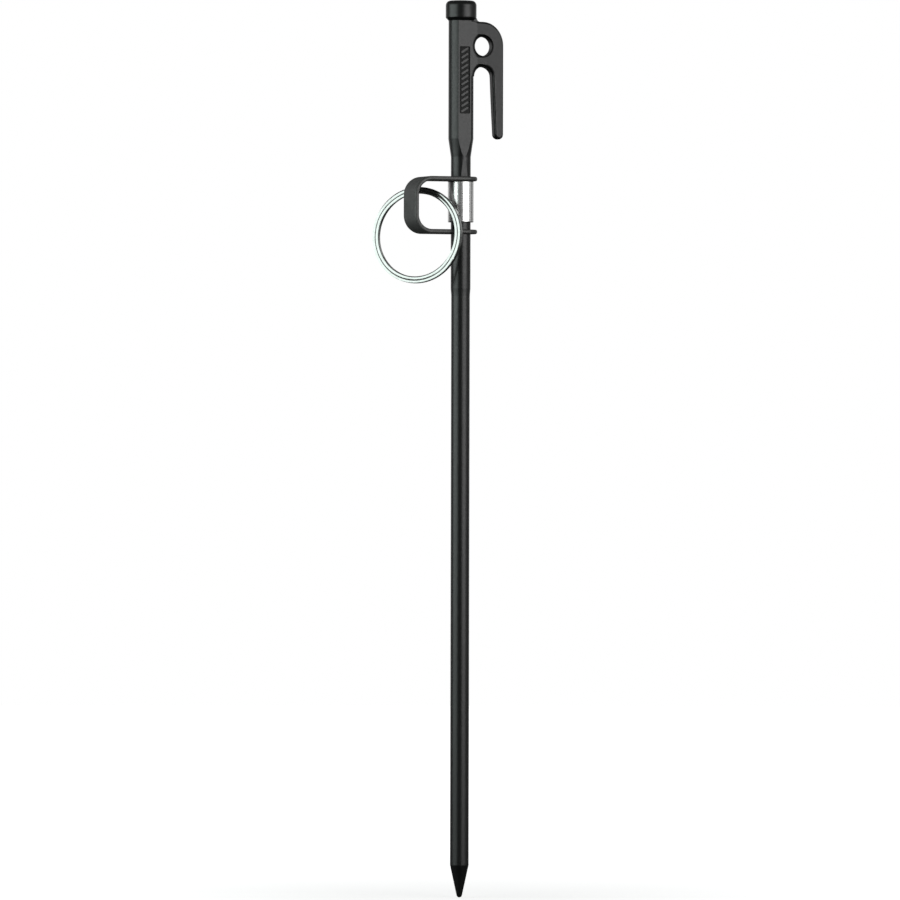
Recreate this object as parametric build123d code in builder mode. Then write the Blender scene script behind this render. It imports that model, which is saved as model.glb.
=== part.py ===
"""Forged tie-out stake with a swivel bracket and a split ring.

Frame: millimetres, +Z up along the shank with the point at the origin, +X towards the
hook, -Y towards the face that carries the marked panel.
"""
import os
from math import asin, atan2, cos, degrees, hypot, pi, radians, sin, tan

from build123d import *

# ---- stake: lengths along Z from the point ----
TOTAL_LENGTH = 480.0
CONE_LENGTH = 17.4
NECK_START = 322.0
NECK_RUN_IN = 4.0
NECK_END = 396.4
HANDLE_START = 406.0
HEAD_LENGTH = 10.7
HEAD_BEVEL = 1.6

# ---- stake: radii ----
TIP_RADIUS = 1.5
SHANK_RADIUS = 5.0
NECK_RADIUS = 5.3
HANDLE_RADIUS = 6.7
HEAD_RADIUS = 8.25
HEAD_TOP_ROUND = 2.6
HEAD_RIM_ROUND = 0.9

# ---- stake: flats on the two sides of the handle ----
FLAT_OFFSET = 5.6
FLAT_NECK_OFFSET = 4.97
FLAT_END = 385.7
FLAT_RUN_OUT = 1.6

# ---- stake: hook; its faces start on the flats and draft inwards towards its outer edge ----
HOOK_REACH = 24.0
HOOK_TOP = 468.8
HOOK_CORNER_RADIUS = 12.6
HOOK_EDGE_ROUND = 1.2
HOOK_DRAFT = 13.0
DRAFT_START = 7.1
EYE_X, EYE_Z, EYE_RADIUS = 12.1, 455.8, 5.1
SLOT_X, SLOT_Z, SLOT_RADIUS = 11.95, 439.5, 5.35
FINGER_END = 406.1
FINGER_WIDTH = 5.3
FINGER_MID_WIDTH = 6.0

# ---- stake: soft mouths of the eye and of the slot's arch, and the gusset beside the head ----
MOUTH_WALL = 3.0
MOUTH_FLARE = 3.2
MOUTH_DEPTH = 4.0
GUSSET_HALF = 2.2
GUSSET_RISE = 2.0
GUSSET_RUN = 2.2
GUSSET_SINK = 0.1

# ---- stake: marked panel on the front flat ----
PANEL_LENGTH = 36.0
PANEL_WIDTH = 6.0
PANEL_CENTRE = 437.4
PANEL_DEPTH = 0.45
PANEL_CORNER = 0.7
BAR_COUNT = 12
BAR_WIDTH = 1.1
BAR_LENGTH = 4.6
BAR_SLANT = 32.0
BAR_HEIGHT = 0.32

# ---- sleeve ----
SLEEVE_RADIUS = 6.9
SLEEVE_LENGTH = 21.9
SLEEVE_EDGE = 0.4

# ---- swivel bracket: a strap bent to a D round the sleeve ----
STRAP_WIDTH = 17.6
STRAP_THICKNESS = 2.3
STRAP_GAP = 26.0
STRAP_BEND = 7.6
STRAP_REACH = 29.6
STRAP_EDGE = 0.85
ARM_HOLE_RADIUS = 5.7
LOWER_ARM_TOP = 357.4
THRUST_GAP = 0.1

# ---- split ring: two turns of flat wire ----
RING_RADIUS = 24.1
WIRE_WIDTH = 3.6
WIRE_THICKNESS = 1.08
WIRE_EDGE = 0.8
COIL_PITCH = 1.16
COIL_SWEEP = 318.0
RAMP_STEPS = 8
RING_TURN = -46.0
RING_LEAN = 5.0
RING_CENTRE = (-22.9, 5.2, 354.4)
SPLIT_ANGLE = 110.0

# ---- derived ----
HEAD_BASE = TOTAL_LENGTH - HEAD_LENGTH
UPPER_ARM_BASE = LOWER_ARM_TOP + STRAP_GAP
SLEEVE_TOP = UPPER_ARM_BASE - THRUST_GAP

os.makedirs("parts", exist_ok=True)


# ---- stake body: one forging, from the point to the hammer head ----
# The rounded tip is an arc that runs into the cone's side without a corner.
tip_distance = hypot(SHANK_RADIUS, CONE_LENGTH - TIP_RADIUS)
cone_angle = degrees(
    atan2(SHANK_RADIUS, CONE_LENGTH - TIP_RADIUS) - asin(TIP_RADIUS / tip_distance)
)

with BuildPart() as hook:
    with BuildSketch(Plane.XZ):
        with BuildLine():
            top = Line((0, HOOK_TOP), (HOOK_REACH - HOOK_CORNER_RADIUS, HOOK_TOP))
            corner = JernArc(top @ 1, (1, 0), HOOK_CORNER_RADIUS, -90)
            outer = Line(corner @ 1, (HOOK_REACH, FINGER_END + FINGER_WIDTH / 2))
            tip = JernArc(outer @ 1, (0, -1), FINGER_WIDTH / 2, -180)
            inner = ThreePointArc(
                tip @ 1,
                (HOOK_REACH - FINGER_MID_WIDTH, (FINGER_END + SLOT_Z) / 2),
                (SLOT_X + SLOT_RADIUS, SLOT_Z),
            )
            arch = CenterArc((SLOT_X, SLOT_Z), SLOT_RADIUS, 0, 180)
            Polyline(arch @ 1, (0, SLOT_Z), top @ 0)
        make_face()
    extrude(amount=FLAT_OFFSET, both=True)
    with BuildSketch(Plane.XY.offset(FINGER_END)):
        with BuildLine():
            outer_half = FLAT_OFFSET - (HOOK_REACH - DRAFT_START) * tan(radians(HOOK_DRAFT))
            half = Polyline(
                (0, FLAT_OFFSET), (DRAFT_START, FLAT_OFFSET), (HOOK_REACH, outer_half), (HOOK_REACH, 0)
            )
            mirror(half, about=Plane.XZ)
            Line((0, FLAT_OFFSET), (0, -FLAT_OFFSET))
        make_face()
    extrude(amount=HOOK_TOP - FINGER_END, mode=Mode.INTERSECT)
    face_edges = hook.edges().filter_by(lambda e: abs(e.center().Y) > HOOK_EDGE_ROUND)
    fillet(face_edges.filter_by(lambda e: e.center().X > DRAFT_START + 1), HOOK_EDGE_ROUND)

with BuildPart() as stake_body:
    with BuildSketch(Plane.XZ) as profile:
        with BuildLine():
            tip_arc = CenterArc((0, TIP_RADIUS), TIP_RADIUS, -90, 90 - cone_angle)
            Polyline(
                tip_arc @ 1,
                (SHANK_RADIUS, CONE_LENGTH),
                (SHANK_RADIUS, NECK_START),
                (NECK_RADIUS, NECK_START + NECK_RUN_IN),
                (NECK_RADIUS, NECK_END),
                (HANDLE_RADIUS, HANDLE_START),
                (HANDLE_RADIUS, HEAD_BASE),
                (HEAD_RADIUS, HEAD_BASE + HEAD_BEVEL),
                (HEAD_RADIUS, TOTAL_LENGTH),
                (0, TOTAL_LENGTH),
                tip_arc @ 0,
            )
        make_face()
        rim = profile.vertices().group_by(Axis.X)[-1]
        fillet(rim.sort_by(Axis.Y)[0], HEAD_RIM_ROUND)
        fillet(profile.vertices().sort_by(Axis.X)[-1], HEAD_TOP_ROUND)
    revolve(axis=Axis.Z)

    # The two flats run down the handle and narrow to a run-out on the neck.
    with BuildSketch(Plane.YZ):
        with BuildLine():
            Polyline(
                (FLAT_OFFSET, HEAD_BASE),
                (FLAT_OFFSET, HANDLE_START),
                (FLAT_NECK_OFFSET, FLAT_END),
                (NECK_RADIUS, FLAT_END - FLAT_RUN_OUT),
                (HEAD_RADIUS, FLAT_END - FLAT_RUN_OUT),
                (HEAD_RADIUS, HEAD_BASE),
                close=True,
            )
        make_face()
        mirror(about=Plane.YZ)
    extrude(amount=HANDLE_RADIUS, both=True, mode=Mode.SUBTRACT)

    add(hook.part)

    # A small hollow gusset runs from the side of the head on to the top of the hook.
    with BuildSketch(Plane.XZ):
        with BuildLine():
            blend = RadiusArc(
                (HEAD_RADIUS - GUSSET_SINK, HOOK_TOP + GUSSET_RISE),
                (HEAD_RADIUS + GUSSET_RUN, HOOK_TOP),
                -GUSSET_RUN,
            )
            foot = Polyline(
                blend @ 1, (HEAD_RADIUS, HOOK_TOP - GUSSET_RISE), (SHANK_RADIUS, HOOK_TOP - GUSSET_RISE)
            )
            Polyline(foot @ 1, (SHANK_RADIUS, HOOK_TOP + GUSSET_RISE), blend @ 0)
        make_face()
    extrude(amount=GUSSET_HALF, both=True)

    # The eye goes right through. Its edges, and those of the near half of the slot's arch,
    # open out in a soft elliptical mouth.
    for x, z, radius, sweep in ((EYE_X, EYE_Z, EYE_RADIUS, 360), (SLOT_X, SLOT_Z, SLOT_RADIUS, 90)):
        with BuildSketch(Plane(origin=(x, 0, z), x_dir=(-1, 0, 0), z_dir=(0, 0, 1))):
            with BuildLine():
                mouth = EllipticalCenterArc(
                    (radius + MOUTH_FLARE, MOUTH_WALL / 2), MOUTH_FLARE, MOUTH_DEPTH, 90, arc_size=90
                )
                half = Polyline(mouth @ 0, (radius + MOUTH_FLARE, HEAD_RADIUS), (0, HEAD_RADIUS), (0, 0))
                wall = Line(mouth @ 1, (radius, 0))
                mirror((mouth, half, wall), about=Plane.XZ)
            make_face()
        revolve(axis=Axis((x, 0, z), (0, 1, 0)), revolution_arc=sweep, mode=Mode.SUBTRACT)

    # The slot also takes a little off the side of the handle.
    with BuildSketch(Plane.XZ):
        with BuildLine():
            arch = CenterArc((SLOT_X, SLOT_Z), SLOT_RADIUS, 0, 180)
            Polyline(
                arch @ 1,
                (SLOT_X - SLOT_RADIUS, HANDLE_START),
                (SLOT_X + SLOT_RADIUS, HANDLE_START),
                arch @ 0,
            )
        make_face()
    extrude(amount=HEAD_RADIUS, both=True, mode=Mode.SUBTRACT)

    # Sunk panel with a row of slanted bars left standing in it.
    with BuildSketch(Plane.XZ.offset(FLAT_OFFSET)):
        with Locations((0, PANEL_CENTRE)):
            RectangleRounded(PANEL_WIDTH, PANEL_LENGTH, PANEL_CORNER)
    extrude(amount=-PANEL_DEPTH, mode=Mode.SUBTRACT)
    with BuildSketch(Plane.XZ.offset(FLAT_OFFSET - PANEL_DEPTH)):
        bar_pitch = PANEL_LENGTH / (BAR_COUNT + 0.5)
        with Locations((0, PANEL_CENTRE)):
            with GridLocations(0, bar_pitch, 1, BAR_COUNT):
                SlotOverall(BAR_LENGTH, BAR_WIDTH, rotation=BAR_SLANT)
    extrude(amount=BAR_HEIGHT)

stake_body.part.label = "stake_body"
export_step(stake_body.part, "parts/stake_body.step")


# ---- sleeve: a tube pressed on the neck, which keeps the bracket in its place ----
with BuildPart() as sleeve:
    with BuildSketch(Plane.XY.offset(SLEEVE_TOP - SLEEVE_LENGTH)):
        Circle(SLEEVE_RADIUS)
        Circle(NECK_RADIUS, mode=Mode.SUBTRACT)
    extrude(amount=SLEEVE_LENGTH)
    rims = sleeve.edges().filter_by(GeomType.CIRCLE).group_by(SortBy.RADIUS)[-1]
    fillet(rims, SLEEVE_EDGE)

sleeve.part.label = "sleeve"
export_step(sleeve.part, "parts/sleeve.step")


# ---- swivel bracket: one strap, bent twice, drilled through both arms ----
with BuildPart() as swivel_bracket:
    with BuildSketch(Plane.XZ):
        with BuildLine() as strap_line:
            FilletPolyline(
                (STRAP_WIDTH, LOWER_ARM_TOP),
                (STRAP_THICKNESS - STRAP_REACH, LOWER_ARM_TOP),
                (STRAP_THICKNESS - STRAP_REACH, UPPER_ARM_BASE),
                (STRAP_WIDTH, UPPER_ARM_BASE),
                radius=STRAP_BEND,
            )
            offset(amount=STRAP_THICKNESS, side=Side.LEFT, closed=True)
        make_face()
    extrude(amount=STRAP_WIDTH / 2, both=True)
    with BuildSketch(Plane.XY.offset(LOWER_ARM_TOP - STRAP_WIDTH)):
        with Locations((-STRAP_REACH / 2, 0)):
            Rectangle(STRAP_REACH, STRAP_WIDTH)
        Circle(STRAP_WIDTH / 2)
    extrude(amount=STRAP_GAP + 2 * STRAP_WIDTH, mode=Mode.INTERSECT)
    fillet(swivel_bracket.edges(), STRAP_EDGE)
    with BuildSketch(Plane.XY.offset(LOWER_ARM_TOP - STRAP_WIDTH)):
        Circle(ARM_HOLE_RADIUS)
    extrude(amount=STRAP_GAP + 2 * STRAP_WIDTH, mode=Mode.SUBTRACT)

swivel_bracket.part.label = "swivel_bracket"
export_step(swivel_bracket.part, "parts/swivel_bracket.step")


# ---- split ring: lower turn, a ramp, upper turn, all one wire ----
turn, lean = radians(RING_TURN), radians(RING_LEAN)
ring_plane = Plane(
    origin=RING_CENTRE,
    x_dir=(cos(turn), sin(turn), 0),
    z_dir=(sin(turn) * cos(lean), -cos(turn) * cos(lean), sin(lean)),
)
ring_axis = Axis(ring_plane.origin, ring_plane.z_dir)


def wire_section(angle, rise):
    """The plane of the wire's section, at an angle past the split and a rise along the axis."""
    around = ring_plane.location * Rotation(0, 0, SPLIT_ANGLE + angle)
    return Plane(around * Location((RING_RADIUS, 0, rise), (90, 0, 0)))


# Flat wire whose broad faces each have two rounded beads with a groove between them.
with BuildSketch() as wire_outline:
    with BuildLine():
        edge = Line((WIRE_WIDTH / 2, 0), (WIRE_WIDTH / 2, WIRE_EDGE / 2))
        bead = ThreePointArc(edge @ 1, (WIRE_WIDTH / 4, WIRE_THICKNESS / 2), (0, WIRE_EDGE / 2))
        mirror((edge, bead), about=Plane.YZ)
        mirror(about=Plane.XZ)
    make_face()

with BuildPart() as split_ring:
    for rise in (-COIL_PITCH / 2, COIL_PITCH / 2):
        with BuildSketch(wire_section(0, rise)):
            add(wire_outline.sketch)
        revolve(axis=ring_axis, revolution_arc=COIL_SWEEP)
    for step in range(RAMP_STEPS + 1):
        part_way = step / RAMP_STEPS
        angle = COIL_SWEEP + (360 - COIL_SWEEP) * part_way
        with BuildSketch(wire_section(angle, -COIL_PITCH / 2 * cos(pi * part_way))):
            add(wire_outline.sketch)
    loft()

split_ring.part.label = "split_ring"
export_step(split_ring.part, "parts/split_ring.step")
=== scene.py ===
"""Looks of the tie-out stake: paint, plated steel and wire on the CAD nodes, in a white studio."""
import math

import bpy
from mathutils import Matrix, Vector

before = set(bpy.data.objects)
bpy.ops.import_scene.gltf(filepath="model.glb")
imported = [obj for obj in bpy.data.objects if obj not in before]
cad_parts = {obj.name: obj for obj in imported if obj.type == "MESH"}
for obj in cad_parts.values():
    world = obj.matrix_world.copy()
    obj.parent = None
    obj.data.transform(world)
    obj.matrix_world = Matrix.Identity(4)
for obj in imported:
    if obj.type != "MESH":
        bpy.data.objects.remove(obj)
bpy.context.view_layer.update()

MM = 0.001
SCENE = bpy.context.scene
WHITE = (1.0, 1.0, 1.0)

# Lengths are in metres, apart from the lens and its sensor in millimetres; angles are in degrees.

# Most values of a Noise texture lie between these.
NOISE_LOW, NOISE_HIGH = 0.3, 0.7

# ---- the marked panel, sunk in the stake's front flat; its floor is at y = -PANEL_FLOOR ----
PANEL_HALF_WIDTH = 3.0 * MM
PANEL_LOW, PANEL_HIGH = 419.4 * MM, 455.4 * MM
PANEL_FLOOR = 5.15 * MM
ABOVE_FLOOR, BELOW_FLOOR = 0.15 * MM, 1.0 * MM
PANEL_FADE = 0.1 * MM
PANEL_ADDED_ROUGHNESS = 0.36

# ---- softboxes: all of one height, at one height, aimed level at the stake ----
LIGHT_HEIGHT = 0.50
SOFTBOX_HEIGHT = 0.95

# ---- the room round the stake, by the height of the view direction: dim below, brighter above ----
ROOM_LOW, ROOM_HIGH = -0.45, 0.1
ROOM_DIM, ROOM_BRIGHT = 0.01, 0.13

# ---- floor: its glow fades from grey at the point to white further out ----
FLOOR_RADIUS = 3.0
FLOOR_SIDES = 96
FADE_START, FADE_END = 0.05, 0.6
FLOOR_GLOW_NEAR, FLOOR_GLOW_FAR = 0.62, 1.0

# ---- camera: level, with a long lens, aimed a little beside the shank; sees VIEW_SIZE each way ----
VIEW_AZIMUTH = -22.0
VIEW_SIZE = 0.4818
AIM_HEIGHT = 0.2395
AIM_SIDE = -5.46 * MM
CAMERA_ROLL = 0.125
LENS, SENSOR_WIDTH = 300.0, 36.0
CLIP_END = 100.0


# ---- small helpers for node trees ----
def new_material(name):
    material = bpy.data.materials.new(name)
    material.use_nodes = True
    nodes, links = material.node_tree.nodes, material.node_tree.links
    return material, nodes, links, nodes["Principled BSDF"]


def add(nodes, kind, **settings):
    """A new node; each setting is one of its inputs, or else one of its properties."""
    node = nodes.new(kind)
    for key, value in settings.items():
        if key in node.inputs:
            node.inputs[key].default_value = value
        else:
            setattr(node, key, value)
    return node


def object_noise(nodes, links, scale, detail=4.0, stretch=(1, 1, 1)):
    """Noise in object space; scale is in features per metre."""
    place = add(nodes, "ShaderNodeTexCoord")
    mapping = add(nodes, "ShaderNodeMapping", Scale=stretch)
    noise = add(nodes, "ShaderNodeTexNoise", Scale=scale, Detail=detail)
    links.new(place.outputs["Object"], mapping.inputs["Vector"])
    links.new(mapping.outputs["Vector"], noise.inputs["Vector"])
    return noise.outputs["Fac"]


def map_range(nodes, links, source, start, end, at_start, at_end):
    """source mapped from start..end to at_start..at_end, and held at the ends."""
    ranges = {"From Min": start, "From Max": end, "To Min": at_start, "To Max": at_end}
    node = add(nodes, "ShaderNodeMapRange", **ranges)
    links.new(source, node.inputs["Value"])
    return node.outputs["Result"]


def remap(nodes, links, noise, low, high):
    """The middle range of a noise, mapped to low..high."""
    return map_range(nodes, links, noise, NOISE_LOW, NOISE_HIGH, low, high)


def arithmetic(nodes, links, operation, *values):
    """A Math node; each value is a number or another node's output."""
    node = add(nodes, "ShaderNodeMath", operation=operation)
    for socket, value in zip(node.inputs, values):
        if isinstance(value, float):
            socket.default_value = value
        else:
            links.new(value, socket)
    return node.outputs[0]


def inside(nodes, links, source, low, high, fade):
    """1 where source lies between low and high, falling to 0 over fade on each side."""
    offset = arithmetic(nodes, links, "SUBTRACT", source, (low + high) / 2)
    distance = arithmetic(nodes, links, "ABSOLUTE", offset)
    half = (high - low) / 2
    return map_range(nodes, links, distance, half + fade, half, 0.0, 1.0)


def bump(nodes, links, height, distance, strength, after=None):
    """A bump on top of the normal in after, or of the mesh's own."""
    node = add(nodes, "ShaderNodeBump", Strength=strength, Distance=distance)
    links.new(height, node.inputs["Height"])
    if after is not None:
        links.new(after, node.inputs["Normal"])
    return node.outputs["Normal"]


def mottle(nodes, links, noise, dark, light):
    """A colour that goes from dark to light with a noise."""
    node = add(nodes, "ShaderNodeValToRGB")
    stops = ((NOISE_LOW, dark), (NOISE_HIGH, light))
    for element, (position, colour) in zip(node.color_ramp.elements, stops):
        element.position = position
        element.color = (*colour, 1.0)
    links.new(noise, node.inputs["Fac"])
    return node.outputs["Color"]


# ---- materials ----
def panel_floor(nodes, links):
    """1 on the floor of the marked panel, 0 elsewhere and on the bars that stand in it."""
    place = add(nodes, "ShaderNodeTexCoord")
    split = add(nodes, "ShaderNodeSeparateXYZ")
    links.new(place.outputs["Object"], split.inputs["Vector"])
    x, y, z = (split.outputs[axis] for axis in "XYZ")
    across = inside(nodes, links, x, -PANEL_HALF_WIDTH, PANEL_HALF_WIDTH, PANEL_FADE)
    along = inside(nodes, links, z, PANEL_LOW, PANEL_HIGH, PANEL_FADE)
    deep = inside(nodes, links, y, -PANEL_FLOOR - ABOVE_FLOOR, -PANEL_FLOOR + BELOW_FLOOR, PANEL_FADE)
    outline = arithmetic(nodes, links, "MULTIPLY", across, along)
    return arithmetic(nodes, links, "MULTIPLY", outline, deep)


def black_paint():
    """Semi-gloss black paint over a forged surface: soft waves, fine orange peel.

    The floor of the panel has the coarse matt skin of the forging die.
    """
    material, nodes, links, shader = new_material("forged_black_paint")
    waves = object_noise(nodes, links, 90.0, 3.0)
    peel = object_noise(nodes, links, 900.0, 4.0)
    grit = object_noise(nodes, links, 700.0, 3.0)
    floor_mask = panel_floor(nodes, links)
    colour = mottle(nodes, links, waves, (0.0028, 0.0033, 0.0031), (0.0050, 0.0058, 0.0055))
    links.new(colour, shader.inputs["Base Color"])
    gloss = remap(nodes, links, peel, 0.30, 0.40)
    matt = arithmetic(nodes, links, "MULTIPLY_ADD", floor_mask, PANEL_ADDED_ROUGHNESS, gloss)
    links.new(matt, shader.inputs["Roughness"])
    forged = bump(nodes, links, waves, 0.4 * MM, 0.10)
    skin = bump(nodes, links, peel, 0.05 * MM, 0.10, forged)
    die_skin = arithmetic(nodes, links, "MULTIPLY", grit, floor_mask)
    links.new(bump(nodes, links, die_skin, 0.35 * MM, 0.45, skin), shader.inputs["Normal"])
    shader.inputs["Specular IOR Level"].default_value = 0.55
    return material


def plated_tube():
    """Bright plated tube with faint drawing marks round it."""
    material, nodes, links, shader = new_material("plated_tube")
    lines = object_noise(nodes, links, 60.0, 5.0, (1, 1, 40))
    shader.inputs["Metallic"].default_value = 1.0
    colour = mottle(nodes, links, lines, (0.86, 0.86, 0.85), (0.93, 0.93, 0.92))
    links.new(colour, shader.inputs["Base Color"])
    links.new(remap(nodes, links, lines, 0.26, 0.33), shader.inputs["Roughness"])
    links.new(bump(nodes, links, lines, 0.02 * MM, 0.015), shader.inputs["Normal"])
    return material


def strap_steel():
    """Dark grey coated strap with a fine rolled grain."""
    material, nodes, links, shader = new_material("coated_strap")
    grain = object_noise(nodes, links, 1400.0, 3.0)
    clouds = object_noise(nodes, links, 160.0, 3.0)
    colour = mottle(nodes, links, clouds, (0.078, 0.079, 0.077), (0.100, 0.101, 0.098))
    links.new(colour, shader.inputs["Base Color"])
    shader.inputs["Metallic"].default_value = 0.35
    links.new(remap(nodes, links, grain, 0.42, 0.52), shader.inputs["Roughness"])
    links.new(bump(nodes, links, grain, 0.04 * MM, 0.12), shader.inputs["Normal"])
    return material


def chrome_wire():
    """Nickel-plated spring wire with a faint haze."""
    material, nodes, links, shader = new_material("plated_wire")
    haze = object_noise(nodes, links, 700.0, 3.0)
    shader.inputs["Metallic"].default_value = 1.0
    colour = mottle(nodes, links, haze, (0.34, 0.35, 0.34), (0.42, 0.43, 0.42))
    links.new(colour, shader.inputs["Base Color"])
    links.new(remap(nodes, links, haze, 0.10, 0.16), shader.inputs["Roughness"])
    links.new(bump(nodes, links, haze, 0.02 * MM, 0.04), shader.inputs["Normal"])
    return material


def dress(node, material):
    """Give a CAD node its finish."""
    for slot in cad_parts[node].material_slots:
        slot.material = material


dress("stake_body", black_paint())
dress("sleeve", plated_tube())
dress("swivel_bracket", strap_steel())
dress("split_ring", chrome_wire())


# ---- studio ----
def direction(angle):
    """Horizontal unit vector from the stake, at an angle in degrees to the right of the camera."""
    azimuth = math.radians(VIEW_AZIMUTH + angle)
    return Vector((math.sin(azimuth), -math.cos(azimuth), 0))


def softbox(name, angle, distance, width, brightness, colour):
    """A rectangular light facing the stake; its power grows with its area."""
    data = bpy.data.lights.new(name, "AREA")
    data.shape = "RECTANGLE"
    data.size, data.size_y = width, SOFTBOX_HEIGHT
    data.energy = brightness * math.pi * width * SOFTBOX_HEIGHT
    data.color = colour
    light = bpy.data.objects.new(name, data)
    aim = Vector((0, 0, LIGHT_HEIGHT))
    light.location = aim + direction(angle) * distance
    light.rotation_euler = (aim - light.location).to_track_quat("-Z", "Y").to_euler()
    SCENE.collection.objects.link(light)


# name, angle, distance, width, brightness, colour
softbox("left_softbox", -63, 1.6, 1.9, 2.5, (0.90, 1.0, 0.97))
softbox("right_softbox", 49, 1.6, 1.4, 2.7, WHITE)
softbox("side_fill", 92, 1.6, 0.8, 0.3, WHITE)
softbox("back_left_fill", -150, 1.8, 1.3, 0.5, WHITE)
softbox("back_right_fill", 152, 1.8, 1.3, 0.5, WHITE)


def studio_world():
    """White to the camera; to everything else a dim room that is darker below."""
    world = bpy.data.worlds.new("studio")
    world.use_nodes = True
    nodes, links = world.node_tree.nodes, world.node_tree.links
    nodes.clear()
    place = add(nodes, "ShaderNodeTexCoord")
    split = add(nodes, "ShaderNodeSeparateXYZ")
    links.new(place.outputs["Generated"], split.inputs["Vector"])
    height = split.outputs["Z"]
    brightness = map_range(nodes, links, height, ROOM_LOW, ROOM_HIGH, ROOM_DIM, ROOM_BRIGHT)
    room = add(nodes, "ShaderNodeBackground", Color=(*WHITE, 1.0))
    links.new(brightness, room.inputs["Strength"])
    backdrop = add(nodes, "ShaderNodeBackground", Color=(*WHITE, 1.0))
    rays = add(nodes, "ShaderNodeLightPath")
    choose = add(nodes, "ShaderNodeMixShader")
    links.new(rays.outputs["Is Camera Ray"], choose.inputs[0])
    links.new(room.outputs[0], choose.inputs[1])
    links.new(backdrop.outputs[0], choose.inputs[2])
    output = add(nodes, "ShaderNodeOutputWorld")
    links.new(choose.outputs[0], output.inputs["Surface"])
    SCENE.world = world


studio_world()


def floor():
    """A pale round floor that the point just touches; it fades to the white of the background."""
    bpy.ops.mesh.primitive_circle_add(vertices=FLOOR_SIDES, radius=FLOOR_RADIUS, fill_type="NGON")
    disc = bpy.context.object
    disc.name = "floor"
    material, nodes, links, shader = new_material("pale_floor")
    shader.inputs["Base Color"].default_value = (0.9, 0.9, 0.9, 1.0)
    shader.inputs["Roughness"].default_value = 0.9
    shader.inputs["Specular IOR Level"].default_value = 0.0
    shader.inputs["Emission Color"].default_value = (*WHITE, 1.0)
    place = add(nodes, "ShaderNodeTexCoord")
    distance = add(nodes, "ShaderNodeVectorMath", operation="LENGTH")
    links.new(place.outputs["Object"], distance.inputs[0])
    from_point = distance.outputs["Value"]
    glow = map_range(nodes, links, from_point, FADE_START, FADE_END, FLOOR_GLOW_NEAR, FLOOR_GLOW_FAR)
    links.new(glow, shader.inputs["Emission Strength"])
    disc.data.materials.append(material)
    disc.visible_glossy = False
    disc.visible_diffuse = False


floor()


def camera():
    """The camera, on the side that the photograph was taken from."""
    data = bpy.data.cameras.new("camera")
    data.lens, data.sensor_width = LENS, SENSOR_WIDTH
    data.clip_end = CLIP_END
    back = direction(0)
    right = direction(90)
    aim = right * AIM_SIDE + Vector((0, 0, AIM_HEIGHT))
    distance = VIEW_SIZE * LENS / SENSOR_WIDTH
    turn = (-back).to_track_quat("-Z", "Y").to_matrix().to_4x4()
    roll = Matrix.Rotation(math.radians(CAMERA_ROLL), 4, "Z")
    viewer = bpy.data.objects.new("camera", data)
    viewer.matrix_world = Matrix.Translation(aim + back * distance) @ turn @ roll
    SCENE.collection.objects.link(viewer)
    SCENE.camera = viewer


camera()
SCENE.view_settings.view_transform = "Standard"
